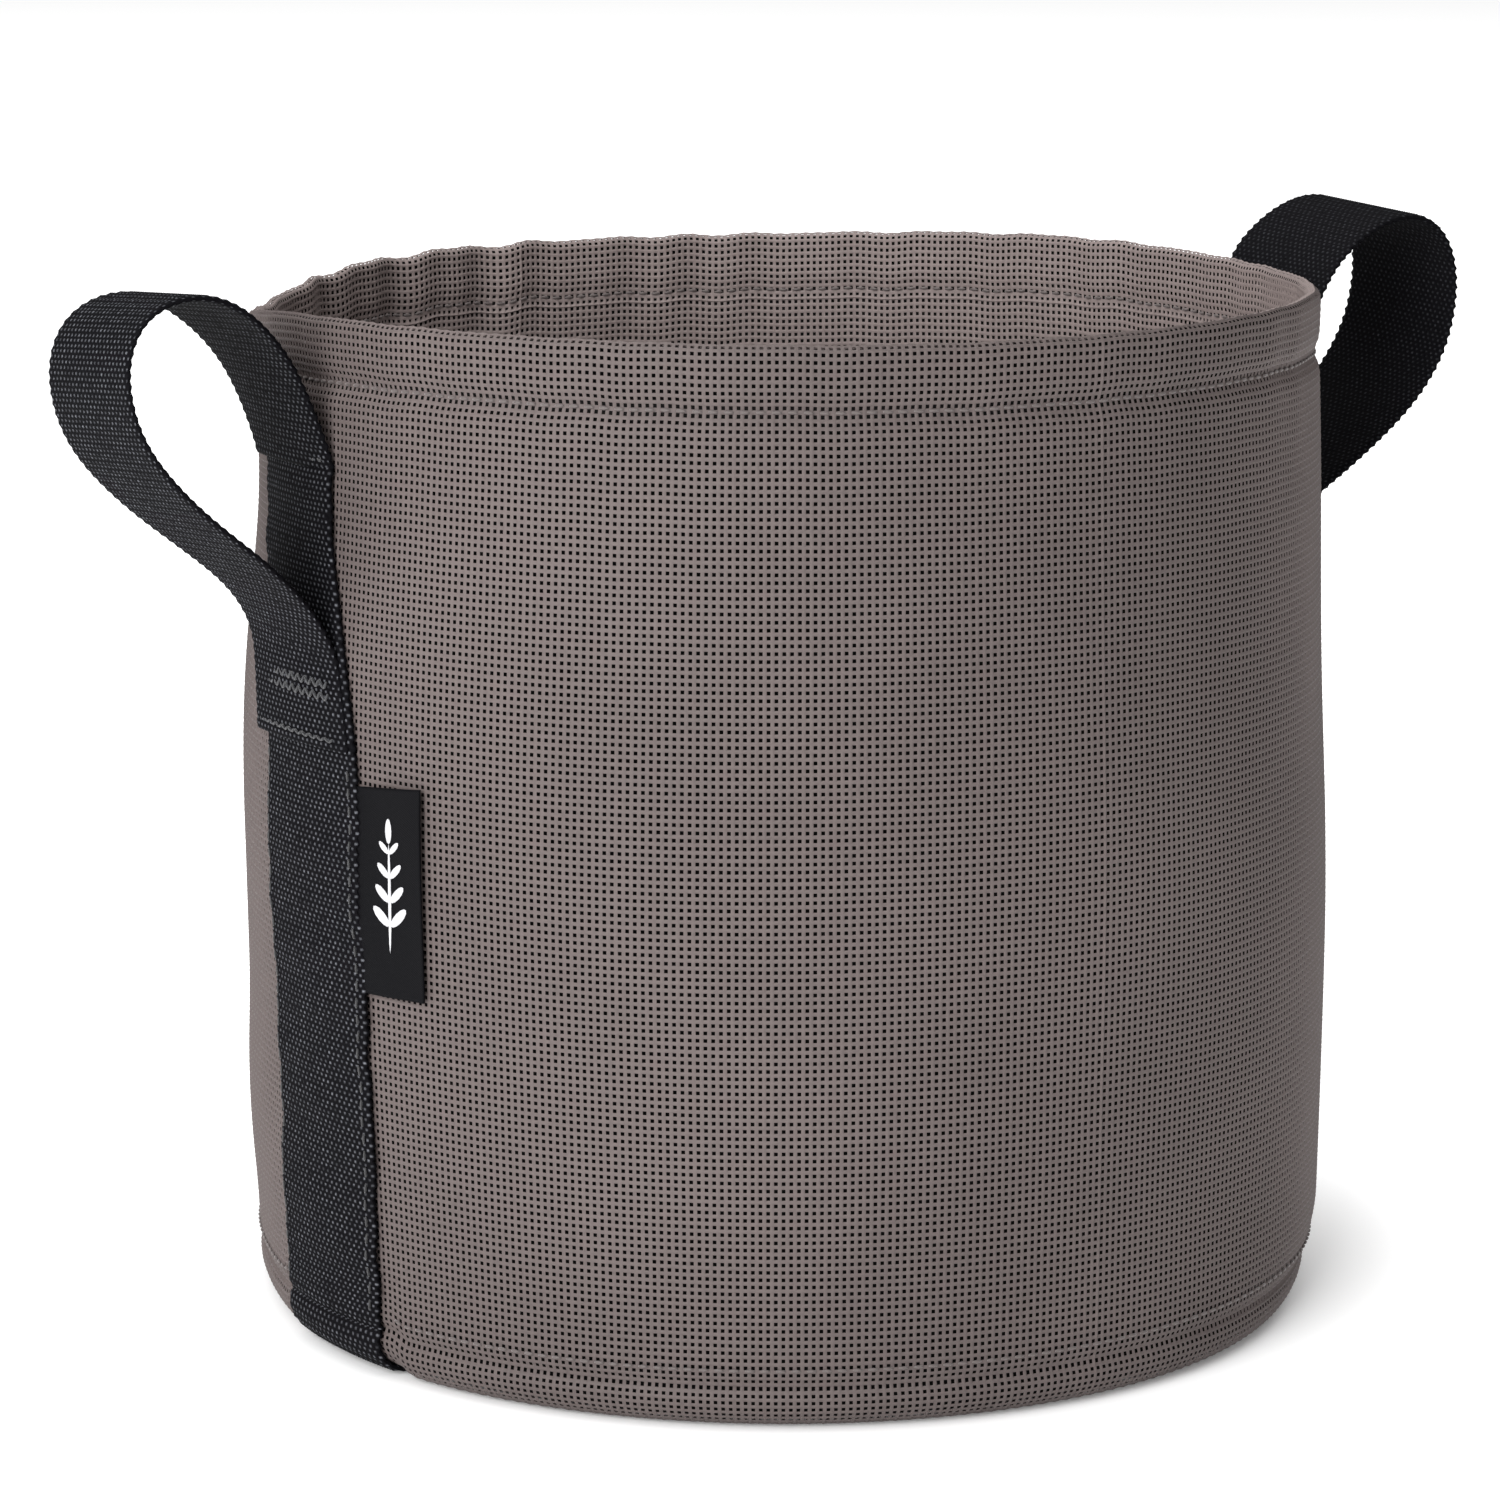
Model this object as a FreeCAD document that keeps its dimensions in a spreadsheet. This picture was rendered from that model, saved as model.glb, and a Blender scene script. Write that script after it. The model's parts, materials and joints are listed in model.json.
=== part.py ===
import FreeCAD, Part
import math
import os
import Sketcher

# Round fabric grow bag: a felt wall and base between two layers of woven mesh,
# one long webbing strap that runs under the base and up both sides, and two
# sewn carry loops. The origin is the centre of the base on the ground, +Z is up,
# and the handles stand on +X and -X. Millimetres and degrees.

DRIVING_SIZES = {
    "rim_radius": 123,
    "hem_radius": 121.8,
    "shoulder_radius": 124.5,
    "belly_radius": 127,
    "flat_radius": 118,
    "corner_radius": 7,
    "bag_height": 232,
    "hem_height": 218,
    "shoulder_height": 185,
    "belly_height": 110,
    "seam_height": 10,
    "mesh_thickness": 0.8,
    "felt_thickness": 1.8,
    "webbing_width": 40,
    "webbing_thickness": 1.8,
    "webbing_play": 0.3,
    "under_run": 112,
    "tab_bottom": 140,
    "tab_top": 157,
    "root_leave": 190,
    "root_top": 205,
    "root_stand_off": 6.4,
    "loop_radius": 18,
    "loop_centre_out": 163,
    "loop_centre_up": 220,
    "loop_upper_leg": 21,
    "loop_lower_leg": 36,
    "loop_upper_angle": 145,
    "loop_lower_angle": -44,
    "label_width": 20,
    "label_height": 45,
    "label_bottom": 88,
    "label_thickness": 0.7,
    "label_gap": 0.5,
    "label_azimuth": 197.1,
    "thread_radius": 0.3,
    "thread_stand_off": 0.36,
    "edge_inset": 2.2,
}
CORNER_STEPS = (30, 60, 90)
LOOP_STEPS = 14

doc = FreeCAD.newDocument("fabric_grow_bag")
sheet = doc.addObject("Spreadsheet::Sheet", "Sizes")
for row, (alias, value) in enumerate(DRIVING_SIZES.items(), 1):
    sheet.set(f"A{row}", alias)
    sheet.set(f"B{row}", str(value))
    sheet.setAlias(f"B{row}", alias)
doc.recompute()

UP = FreeCAD.Vector(0, 0, 1)
nodes = []


def size(alias):
    """The way an expression names a cell of the sheet."""
    return f"Sizes.{alias}"


def number(expression):
    """The present value of an expression, worked out by the sheet in a helper cell."""
    sheet.set("D1", "=" + expression.replace("Sizes.", ""))
    sheet.recompute()
    return float(sheet.get("D1"))


def keep(feature, node):
    """Give a finished feature its node name and list it for export."""
    feature.Label = node
    nodes.append((node, feature))
    return feature


def bound_polygon(sketch, corners):
    """Draw a closed outline; each corner's two distances follow the sheet."""
    places = [(number(across), number(up)) for across, up in corners]
    ends = places[1:] + places[:1]
    for start, end in zip(places, ends):
        sketch.addGeometry(Part.LineSegment(FreeCAD.Vector(*start, 0), FreeCAD.Vector(*end, 0)))
    for index in range(len(corners)):
        following = (index + 1) % len(corners)
        sketch.addConstraint(Sketcher.Constraint("Coincident", index, 2, following, 1))
    for index, (corner, place) in enumerate(zip(corners, places)):
        for kind, expression, value in zip(("DistanceX", "DistanceY"), corner, place):
            constraint = sketch.addConstraint(Sketcher.Constraint(kind, -1, 1, index, 1, value))
            if "Sizes." in expression:
                sketch.setExpression(f"Constraints[{constraint}]", expression)


def body_with_sketch(name, corners):
    """A body that holds one upright sketch on its own XZ plane."""
    body = doc.addObject("PartDesign::Body", name)
    sketch = body.newObject("Sketcher::SketchObject", f"{name}_outline")
    plane = next(f for f in body.Origin.OriginFeatures if f.Role == "XZ_Plane")
    sketch.AttachmentSupport = [(plane, "")]
    sketch.MapMode = "FlatFace"
    bound_polygon(sketch, corners)
    return body, sketch


def revolved_body(name, corners, angle, centred=False, reverse=False):
    """A body turned about the bag's axis through an angle, given as an expression."""
    body, sketch = body_with_sketch(name, corners)
    turn = body.newObject("PartDesign::Revolution", f"{name}_turn")
    turn.Profile = sketch
    turn.ReferenceAxis = (sketch, ["V_Axis"])
    if centred:
        turn.Midplane = True
    turn.Reversed = reverse
    turn.setExpression("Angle", angle)
    sketch.Visibility = False
    return body


def padded_body(name, corners, length):
    """A body extruded both ways from the XZ plane, to a total length."""
    body, sketch = body_with_sketch(name, corners)
    pad = body.newObject("PartDesign::Pad", f"{name}_pad")
    pad.Profile = sketch
    pad.Midplane = True
    pad.setExpression("Length", length)
    return body


def centred_box(name, length, width, bottom, top):
    """A box centred on the bag's axis; all four sizes are expressions."""
    box = doc.addObject("Part::Box", name)
    box.setExpression("Length", length)
    box.setExpression("Width", width)
    box.setExpression("Height", f"({top}) - ({bottom})")
    box.setExpression("Placement.Base.x", f"-({length}) / 2")
    box.setExpression("Placement.Base.y", f"-({width}) / 2")
    box.setExpression("Placement.Base.z", bottom)
    return box


def cut(name, base, tool):
    result = doc.addObject("Part::Cut", name)
    result.Base = base
    result.Tool = tool
    return result


def fuse(name, shapes):
    result = doc.addObject("Part::MultiFuse", name)
    result.Shapes = shapes
    return result


def common(name, base, tool):
    result = doc.addObject("Part::MultiCommon", name)
    result.Shapes = [base, tool]
    return result


def mirrored(name, source):
    """The same piece on the other handle's side."""
    result = doc.addObject("Part::Mirroring", name)
    result.Source = source
    result.Base = FreeCAD.Vector(0, 0, 0)
    result.Normal = FreeCAD.Vector(1, 0, 0)
    return result


# ---- wall outline -----------------------------------------------------------

FOOT_RADIUS = f"{size('flat_radius')} + {size('corner_radius')}"
WEB = size("webbing_thickness")


def corner_points(depth, lift):
    """The rounded foot, a depth inside the outer face and lifted off the ground."""
    radius = f"({size('corner_radius')} - ({depth}))"
    centre_up = f"{size('corner_radius')} + {lift}"
    return [
        (
            f"{size('flat_radius')} + {radius} * {math.sin(math.radians(step))}",
            f"{centre_up} - {radius} * {math.cos(math.radians(step))}",
        )
        for step in CORNER_STEPS
    ]


def wall_radius(height):
    """Outer radius of the wall between belly and shoulder, at a height."""
    share = f"(({height}) - {size('belly_height')}) / ({size('shoulder_height')} - {size('belly_height')})"
    return f"{size('belly_radius')} + {share} * ({size('shoulder_radius')} - {size('belly_radius')})"


def wall_line(depth):
    """The wall from the flat of the base to the rim, a depth inside its outer face."""
    return (
        [(size("flat_radius"), f"{depth}")]
        + corner_points(depth, "0")
        + [
            (f"{FOOT_RADIUS} - ({depth})", f"{size('corner_radius')} + {WEB}"),
            (f"{size('belly_radius')} - ({depth})", size("belly_height")),
            (f"{size('shoulder_radius')} - ({depth})", size("shoulder_height")),
            (f"{size('hem_radius')} - ({depth})", size("hem_height")),
            (f"{size('rim_radius')} - ({depth})", size("bag_height")),
        ]
    )


MESH = size("mesh_thickness")
FELT = size("felt_thickness")
LAYERS = {
    "outer": ("0", MESH),
    "felt": (MESH, f"{MESH} + {FELT}"),
    "inner": (f"{MESH} + {FELT}", f"{MESH} * 2 + {FELT}"),
}

# ---- carry strap ------------------------------------------------------------

STRAP_ANGLE = f"{size('webbing_width')} / {size('belly_radius')} * {math.degrees(1)}"
STRAP_LAP = 2
ROOM_PLAY = 0.3


def strap_course(depth):
    """The strap's side view, a depth outside the wall: under the base, round the foot and up."""
    under_up = f"{WEB} - ({depth})"
    root = size("root_leave")
    return (
        [(f"{size('under_run')} - {STRAP_LAP}", under_up), (size("flat_radius"), under_up)]
        + corner_points(f"-({depth})", WEB)
        + [
            (f"{size('belly_radius')} + ({depth})", size("belly_height")),
            (f"{wall_radius(root)} + ({depth})", root),
        ]
    )


outer_course, inner_course = strap_course(WEB), strap_course("0")[::-1]
root_out = f"{size('belly_radius')} + {size('root_stand_off')}"
root_end = [(root_out, size("root_top")), (f"{root_out} - {WEB}", f"{size('root_top')} + 1")]
strap_outline = outer_course + root_end + inner_course
strap_right = revolved_body("strap_side_right", strap_outline, STRAP_ANGLE, centred=True)
strap_left = mirrored("strap_side_left", strap_right)
strap_under = centred_box("strap_under_base", f"{size('under_run')} * 2", size("webbing_width"), "0", WEB)
keep(fuse("carry_strap_fused", [strap_right, strap_left, strap_under]), "carry_strap")

# the room that the strap takes at the foot of the wall, on both sides
room_angle = f"{STRAP_ANGLE} + {ROOM_PLAY}"
strap_room = revolved_body("strap_room_right", outer_course + inner_course, room_angle, centred=True)
strap_room_both = fuse("strap_room_both", [strap_room, mirrored("strap_room_left", strap_room)])

# ---- walls ------------------------------------------------------------------

for layer, (near, far) in LAYERS.items():
    outline = wall_line(near) + wall_line(far)[::-1]
    for side, reverse in (("back", False), ("front", True)):
        name = f"{layer}_wall_{side}"
        panel = revolved_body(f"{name}_panel", outline, "180", reverse=reverse)
        keep(cut(f"{name}_relieved", panel, strap_room_both), name)

# ---- base -------------------------------------------------------------------

CHANNEL_OVERRUN = 2
TRIMMER_HEIGHT = 20

for layer, (near, far) in LAYERS.items():
    name = f"{layer}_base"
    disc = doc.addObject("Part::Cylinder", f"{name}_disc")
    disc.setExpression("Radius", size("flat_radius"))
    disc.setExpression("Height", f"{far} - ({near})")
    disc.setExpression("Placement.Base.z", near)
    span = f"({size('flat_radius')} + {CHANNEL_OVERRUN}) * 2"
    channel_width = f"{size('webbing_width')} + ({size('webbing_play')} + {near}) * 2"
    bridge_width = f"{size('webbing_width')} + ({size('webbing_play')} + {far}) * 2"
    bridge = centred_box(f"{name}_bridge", span, bridge_width, near, f"{far} + {WEB}")
    trimmer = doc.addObject("Part::Cylinder", f"{name}_trimmer")
    trimmer.setExpression("Radius", size("flat_radius"))
    trimmer.Height = TRIMMER_HEIGHT
    bridge_round = common(f"{name}_bridge_round", bridge, trimmer)
    channel = centred_box(f"{name}_channel", span, channel_width, "-1", f"{near} + {WEB}")
    raised = fuse(f"{name}_raised", [disc, bridge_round])
    keep(cut(f"{name}_with_channel", raised, channel), name)

# ---- carry loops: the part of each loop that swings -----------------------------

upper_angle = number(size("loop_upper_angle"))
lower_angle = number(size("loop_lower_angle"))


def loop_course(radius):
    """The loop's side view: a leg up from the root, over the top, and back down."""
    out, up = size("loop_centre_out"), size("loop_centre_up")

    def on_arc(angle):
        turn = math.radians(angle)
        return (f"{out} + ({radius}) * {math.cos(turn)}", f"{up} + ({radius}) * {math.sin(turn)}")

    def along(point, angle, length):
        turn = math.radians(angle)
        return (
            f"{point[0]} + {length} * {math.cos(turn)}",
            f"{point[1]} + {length} * {math.sin(turn)}",
        )

    turn = lower_angle - upper_angle
    arc = [on_arc(upper_angle + turn * step / LOOP_STEPS) for step in range(LOOP_STEPS + 1)]
    foot = along(arc[0], upper_angle + 90, size("loop_upper_leg"))
    tail = along(arc[-1], lower_angle - 90, size("loop_lower_leg"))
    return [foot] + arc + [tail]


loop_band = loop_course(size("loop_radius")) + loop_course(f"{size('loop_radius')} - {WEB}")[::-1]
loop_right = padded_body("loop_right", loop_band, size("webbing_width"))
keep(loop_right, "handle_loop_right")
keep(mirrored("loop_left", loop_right), "handle_loop_left")

# ---- sewn lower ends of the loops, lapped over the strap --------------------------


TAB_LIP_OUT, TAB_LIP_UP = 3.5, 8


def tab_course(depth):
    """The tab lies on the strap, then leaves it towards the loop."""
    bottom, top = size("tab_bottom"), size("tab_top")
    return [
        (f"{wall_radius(bottom)} + {depth}", bottom),
        (f"{wall_radius(top)} + {depth}", top),
        (f"{wall_radius(top)} + {depth} + {TAB_LIP_OUT}", f"{top} + {TAB_LIP_UP}"),
    ]


tab_outline = tab_course(f"{WEB} * 2") + tab_course(WEB)[::-1]
tab_right = revolved_body("tab_right", tab_outline, STRAP_ANGLE, centred=True)
keep(tab_right, "handle_tab_right")
keep(mirrored("tab_left", tab_right), "handle_tab_left")

# ---- side label, sewn in at the edge of the left strap ---------------------------

label = doc.addObject("Part::Box", "label_flag")
label.setExpression("Length", size("label_thickness"))
label.setExpression("Width", size("label_width"))
label.setExpression("Height", size("label_height"))
label_turn = FreeCAD.Rotation(UP, number(size("label_azimuth")))
label_corner = FreeCAD.Vector(
    number(f"{size('belly_radius')} + {size('label_gap')}"),
    -number(size("label_width")) / 2,
    number(size("label_bottom")),
)
label.Placement = FreeCAD.Placement(label_turn.multVec(label_corner), label_turn)
keep(label, "side_label")

# ---- sewing threads ---------------------------------------------------------------


def thread_ring(name, radius, height):
    ring = doc.addObject("Part::Torus", name)
    ring.setExpression("Radius1", radius)
    ring.setExpression("Radius2", size("thread_radius"))
    ring.setExpression("Placement.Base.z", height)
    return ring


hem_out = f"{size('hem_radius')} + {size('thread_stand_off')}"
hem_in = f"{size('hem_radius')} - ({MESH} * 2 + {FELT}) - {size('thread_stand_off')}"
keep(thread_ring("hem_ring_outer", hem_out, size("hem_height")), "hem_thread_outer")
keep(thread_ring("hem_ring_inner", hem_in, size("hem_height")), "hem_thread_inner")

# the seam's thread stops at each edge of the strap
SEAM_GAP = 0.08
seam_clearance = f"({size('webbing_width')} / 2 + {size('thread_stand_off')} * 2)"
seam_stop = math.degrees(number(f"{seam_clearance} / ({FOOT_RADIUS})"))


def seam_arc(name, first_azimuth):
    """Half of the base seam's thread, from one strap edge round to the other."""
    near = f"{FOOT_RADIUS} + {SEAM_GAP}"
    far = f"{near} + {size('thread_radius')} * 2"
    low = f"{size('seam_height')} - {size('thread_radius')}"
    high = f"{size('seam_height')} + {size('thread_radius')}"
    outline = [(near, low), (far, low), (far, high), (near, high)]
    arc = revolved_body(name, outline, f"{180 - 2 * seam_stop}", centred=True)
    arc.Placement = FreeCAD.Placement(FreeCAD.Vector(0, 0, 0), FreeCAD.Rotation(UP, first_azimuth))
    return arc


seam_thread = fuse("seam_thread_group", [seam_arc("seam_arc_front", -90), seam_arc("seam_arc_back", 90)])
keep(seam_thread, "base_seam_thread")


def thread_strip(name, bottom, top, azimuth, depth):
    """One upright line of stitches on the strap, as a thin raised strip."""
    thick = f"{size('thread_radius')} * 2"
    outline = [
        (f"{wall_radius(bottom)} + {depth}", bottom),
        (f"{wall_radius(bottom)} + {depth} + {thick}", bottom),
        (f"{wall_radius(top)} + {depth} + {thick}", top),
        (f"{wall_radius(top)} + {depth}", top),
    ]
    strip = revolved_body(name, outline, "0.3", centred=True)
    strip.Placement = FreeCAD.Placement(FreeCAD.Vector(0, 0, 0), FreeCAD.Rotation(UP, azimuth))
    return strip


edge_reach = f"({size('webbing_width')} / 2 - {size('edge_inset')})"
edge_azimuth = math.degrees(number(f"{edge_reach} / {size('belly_radius')}"))
STRIP_DEPTH = f"{WEB} + 0.02"
STRIP_RUNS = {
    "lower": (size("belly_height"), f"{size('tab_bottom')} - 1"),
    "upper": (f"{size('tab_top')} + {TAB_LIP_UP} + 1", f"{size('root_leave')} - 2"),
}
strips = [
    thread_strip(f"strap_{run}_strip_{index}", bottom, top, side * edge_azimuth, STRIP_DEPTH)
    for run, (bottom, top) in STRIP_RUNS.items()
    for index, side in enumerate((-1, 1))
]
strap_thread = fuse("strap_thread_group", strips)
keep(strap_thread, "strap_thread_right")
keep(mirrored("strap_thread_other", strap_thread), "strap_thread_left")


def thread_row(name, height, depth):
    """One row of stitches across the webbing."""
    reach = size("thread_radius")
    outline = [
        (f"{wall_radius(height)} + {depth}", f"{height} - {reach}"),
        (f"{wall_radius(height)} + {depth} + {reach} * 2", f"{height} - {reach}"),
        (f"{wall_radius(height)} + {depth} + {reach} * 2", f"{height} + {reach}"),
        (f"{wall_radius(height)} + {depth}", f"{height} + {reach}"),
    ]
    return revolved_body(name, outline, f"{STRAP_ANGLE} - 2", centred=True)


ROW_DEPTH = f"{WEB} * 2 + 0.06"
row_low = thread_row("tab_row_low", f"{size('tab_bottom')} + 3", ROW_DEPTH)
row_high = thread_row("tab_row_high", f"{size('tab_top')} - 4", ROW_DEPTH)
tab_thread = fuse("tab_thread_group", [row_low, row_high])
keep(tab_thread, "tab_thread_right")
keep(mirrored("tab_thread_other", tab_thread), "tab_thread_left")

# ---- check and write ---------------------------------------------------------------

doc.recompute()
for feature in doc.Objects:
    if "Invalid" in feature.State or "Error" in feature.State:
        raise RuntimeError(f"{feature.Name} did not rebuild: {feature.State}")

os.makedirs("parts", exist_ok=True)
for node, feature in nodes:
    shape = feature.Shape
    if shape.isNull() or not shape.isValid() or not shape.Solids:
        raise RuntimeError(f"{node} has no valid solid")
    box = shape.BoundBox
    print(f"{node:20s} solids {len(shape.Solids)} volume {shape.Volume:10.1f} top {box.ZMax:6.1f}")
for node, feature in nodes:
    feature.Shape.exportStep(f"parts/{node}.step")
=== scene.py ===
import json
import math

import bmesh
import bpy
import numpy as np
from mathutils import Matrix, Vector


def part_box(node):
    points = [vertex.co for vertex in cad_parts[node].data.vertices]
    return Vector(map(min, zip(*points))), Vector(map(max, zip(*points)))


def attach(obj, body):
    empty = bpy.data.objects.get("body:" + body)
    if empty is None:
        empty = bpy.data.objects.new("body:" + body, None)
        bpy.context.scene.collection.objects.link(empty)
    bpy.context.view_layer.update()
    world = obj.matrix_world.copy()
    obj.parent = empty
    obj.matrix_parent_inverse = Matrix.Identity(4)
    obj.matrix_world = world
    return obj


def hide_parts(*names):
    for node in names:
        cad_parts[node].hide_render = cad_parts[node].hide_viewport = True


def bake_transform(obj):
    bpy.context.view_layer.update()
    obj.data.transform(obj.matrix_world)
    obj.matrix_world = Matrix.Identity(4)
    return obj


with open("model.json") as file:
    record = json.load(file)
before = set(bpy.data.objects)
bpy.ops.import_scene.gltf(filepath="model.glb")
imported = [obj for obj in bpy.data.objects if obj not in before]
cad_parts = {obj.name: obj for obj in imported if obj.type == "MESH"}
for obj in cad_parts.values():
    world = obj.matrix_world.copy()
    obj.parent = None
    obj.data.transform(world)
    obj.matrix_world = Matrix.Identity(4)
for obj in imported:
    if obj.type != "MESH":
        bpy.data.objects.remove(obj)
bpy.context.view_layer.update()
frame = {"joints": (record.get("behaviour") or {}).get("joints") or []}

MM = 0.001

# ---- sizes read from the frame ---------------------------------------------------------

# BELLY is the bag's widest radius, FLAT the radius where the base turns up into the wall,
# and WALL_BUILD the distance from the outer cloth through the felt to the inner cloth.
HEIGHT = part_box("outer_wall_back")[1].z
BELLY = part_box("outer_wall_back")[1].x
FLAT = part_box("outer_base")[1].x
WALL_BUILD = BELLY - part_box("inner_wall_back")[1].x + 0.8 * MM
WEB_WIDE = 2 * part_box("handle_loop_right")[1].y
HEM_Z = (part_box("hem_thread_outer")[0].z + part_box("hem_thread_outer")[1].z) / 2
SEAM_Z = (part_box("base_seam_thread")[0].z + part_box("base_seam_thread")[1].z) / 2
TAB_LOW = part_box("handle_tab_left")[0].z
LABEL_LOW, LABEL_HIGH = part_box("side_label")[0].z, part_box("side_label")[1].z

# ---- sizes of the cloth and the webbing ------------------------------------------------

MESH_PITCH = 1.64 * MM         # one cell of the weave, a hole and the yarns round it
YARN = 0.42 * MM               # half of a yarn's width
YARN_DEEP = 0.28 * MM
KNOT_RISE = 0.10 * MM          # how far crossings stand up and down by turns
WEB_THICK = 1.5 * MM
RIB_PITCH = 2.3 * MM
WEB_FLECKS = 44                # yarns counted across the webbing
STRAP_GAP = 0.1 * MM           # clearance between the webbing and the cloth under it
FELT_THICK = 0.9 * MM
FELT_BEHIND = 2.5 * MM         # from the outer cloth in to the far face of the wall's felt
FELT_BASE_THICK = 1.6 * MM
FELT_BASE_LOW = 2.9 * MM
OUTER_BASE_LIFT = 0.35 * MM
INNER_BASE_LIFT = 5.2 * MM
RIM_ROLL = WALL_BUILD / 2
FOOT_ROUND = 7 * MM
ROOT_Z = 200 * MM              # where the strap ends and a carry loop leaves the wall
LIE = 0.15 * MM                # height of the lowest cloth over the ground
WALK = 0.7 * MM                # step from one place of a course to the next
INNER_PULL = -0.4              # the hem's stitches push the inner cloth the other way, and less
STRAIGHT = 60 * MM             # inside this radius the strap runs flat and straight
LEFT, RIGHT = math.pi, 0.0     # azimuths of the two straps


# ---- the bag's form --------------------------------------------------------------------

def ease(value, start, end):
    """Smooth step from 0 at start to 1 at end."""
    t = np.clip((value - start) / (end - start), 0.0, 1.0)
    return t * t * (3 - 2 * t)


def bump_at(value, centre, width):
    """A round bump of height 1."""
    return np.exp(-(((value - centre) / width) ** 2))


def turn_between(azimuth, centre):
    """Signed angle from centre to azimuth."""
    return (azimuth - centre + math.pi) % (2 * math.pi) - math.pi


def wall_reach(z, pulled=1.0):
    """Outer radius of the wall at a height; the hem's stitches draw it in as far as pulled says."""
    foot = 2.0 * MM * (1 - ease(z, 0, 100 * MM))
    taper = 4.2 * MM * np.clip((z - 110 * MM) / (HEIGHT - 110 * MM), 0, 1) ** 1.5
    pinch = 1.3 * MM * bump_at(z, HEM_Z, 2.4 * MM)
    crease = 0.9 * MM * bump_at(z, SEAM_Z, 1.5 * MM)
    lip = 0.7 * MM * ease(z, HEM_Z, HEIGHT)
    return BELLY - foot - taper + lip - pinch * pulled - crease


def gathers(azimuth):
    """Puckers that the hem's sewing leaves, deepest at the back left and faint at the front."""
    waves = np.sin(34 * azimuth + 1.6 * np.sin(5 * azimuth)) + 0.6 * np.sin(53 * azimuth + 2.0)
    back_left = bump_at(turn_between(azimuth, math.radians(106)), 0, 0.52)
    back_right = bump_at(turn_between(azimuth, math.radians(35)), 0, 0.6)
    return waves * (0.2 + 1.1 * back_left + 0.4 * back_right)


def unevenness(azimuth, z):
    """How far the cloth stands in or out of its even form, along the radius."""
    share = np.sin(np.pi * np.clip(z / HEIGHT, 0, 1))
    slow = 0.9 * np.sin(2 * azimuth + 0.6) + 0.5 * np.sin(3 * azimuth + 2.1 + 9 * z)
    slack = 0.5 * np.sin(7 * azimuth + 26 * z) * np.sin(31 * z + 1.0)
    band = ease(z, HEM_Z - 22 * MM, HEM_Z + 3 * MM)
    tilt = 1.8 * ease(z, 20 * MM, HEIGHT) * np.cos(azimuth - math.radians(147))
    left, right = turn_between(azimuth, LEFT), turn_between(azimuth, RIGHT)
    tuck = 2.4 * bump_at(left, -0.35, 0.3) * (1 - ease(z, 8 * MM, 60 * MM))
    tuck = tuck + 3.2 * bump_at(right, -0.65, 0.45) * (1 - ease(z, 2 * MM, 23 * MM))
    pull = 1.9 * ease(z, 30 * MM, 80 * MM) + 4.2 * bump_at(z, 190 * MM, 38 * MM)
    give = 1.5 * bump_at(right, -0.68, 0.5) * bump_at(z, 135 * MM, 45 * MM)
    drawn_in = tuck + bump_at(left, -0.35, 0.5) * pull + give
    return (share * (slow + slack) + 0.6 * band * gathers(azimuth) + tilt - drawn_in) * MM


def settle(azimuth, z):
    """How far a point moves up or down: the rim dips and rises, and the foot rides on the strap."""
    top = ease(z, 150 * MM, HEIGHT)
    dip = 5.8 * bump_at(turn_between(azimuth, math.radians(142)), 0, 0.4)
    wave = 0.5 * np.sin(3 * azimuth + 1.0) + 0.35 * gathers(azimuth + 0.04)
    lift = np.zeros_like(z)
    for side in (LEFT, RIGHT):
        away = np.abs(turn_between(azimuth, side + strap_lean(z)))
        lift = lift + 1.0 - ease(away, 0.175, 0.22)
    on_strap = lift * (WEB_THICK / MM + 0.3) * (1 - ease(z, 4 * MM, 30 * MM))
    rise = 2.8 * bump_at(turn_between(azimuth, math.radians(22)), 0, 0.55)
    return (on_strap + top * (rise + 0.3 - dip - wave)) * MM


def strap_lean(z):
    """The straps run a little aslant, further forward at the foot than at the handle."""
    foot, back, top = ease(z, 0, 40 * MM), ease(z, 70 * MM, 150 * MM), ease(z, 130 * MM, 200 * MM)
    return math.radians(1) * (3.2 + 0.6 * foot - 1.3 * back - 5.7 * top)


class Course:
    """A side view of a cloth's way over the bag, walked by its length."""

    ASIDE = 0.4 * MM    # the direction is taken between two places this far to each side

    def __init__(self, places):
        steps = np.linalg.norm(np.diff(places, axis=0), axis=1)
        self.runs = np.concatenate([[0], np.cumsum(steps)])
        self.places = places
        self.length = self.runs[-1]

    def place(self, run):
        """Radius and height after a run."""
        return [np.interp(run, self.runs, self.places[:, i]) for i in (0, 1)]

    def at(self, run):
        """Radius and height after a run, then the direction away from the bag there."""
        out, up = self.place(run)
        ahead, behind = self.place(run + self.ASIDE), self.place(run - self.ASIDE)
        way_out, way_up = ahead[0] - behind[0], ahead[1] - behind[1]
        size = np.hypot(way_out, way_up) + 1e-12
        return out, up, way_up / size, -way_out / size


def rising_places(first_radius, top, pulled=1.0):
    """Side view of a cloth, from a radius under the base, round the foot and up the wall."""
    turn = np.radians(np.arange(0, 90, 6))
    foot = np.stack([FLAT + FOOT_ROUND * np.sin(turn), FOOT_ROUND * (1 - np.cos(turn)) + LIE], 1)
    heights = np.arange(FOOT_ROUND + LIE, top, WALK)
    wall = np.stack([wall_reach(heights, pulled), heights], 1)
    return np.concatenate([[[first_radius, LIE]], foot, wall])


def rolled_places(first, last):
    """Side view of the roll over the rim, between two angles from the outside."""
    turn = np.radians(np.arange(first, last + 1, 15))
    centre_out, centre_up = wall_reach(np.array([HEIGHT]))[0] - RIM_ROLL, HEIGHT - RIM_ROLL
    return np.stack([centre_out + RIM_ROLL * np.cos(turn), centre_up + RIM_ROLL * np.sin(turn)], 1)


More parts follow.
